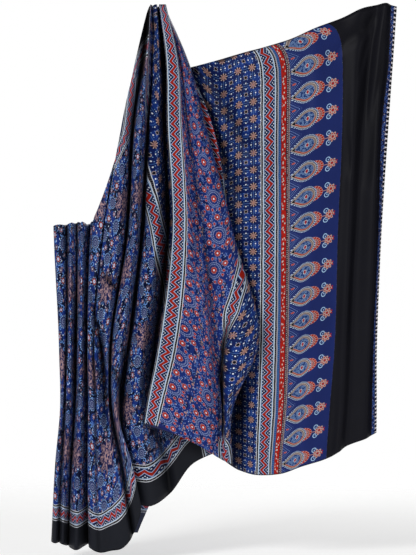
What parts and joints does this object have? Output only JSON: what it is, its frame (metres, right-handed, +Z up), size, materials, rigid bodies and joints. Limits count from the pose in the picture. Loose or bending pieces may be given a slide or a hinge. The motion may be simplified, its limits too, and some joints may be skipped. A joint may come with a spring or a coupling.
{
  "type": "hanging block printed silk sari",
  "caption": "Long block printed silk cloth hanging in pleats from a shoulder gather, a pleated waist and one raised corner, with a figured end panel and a plain dark end.",
  "frame": {"origin": "top of the shoulder gather, where the cloth is held up", "axes": "+X towards the raised corner of the end panel, the printed front faces -Y, +Z up"},
  "size_m": [0.9031, 0.1821, 1.43],
  "materials": {
    "printed_silk": "satin"
  },
  "bodies": {
    "root": {"printed_silk_sari": "printed_silk"}
  },
  "joints": []
}
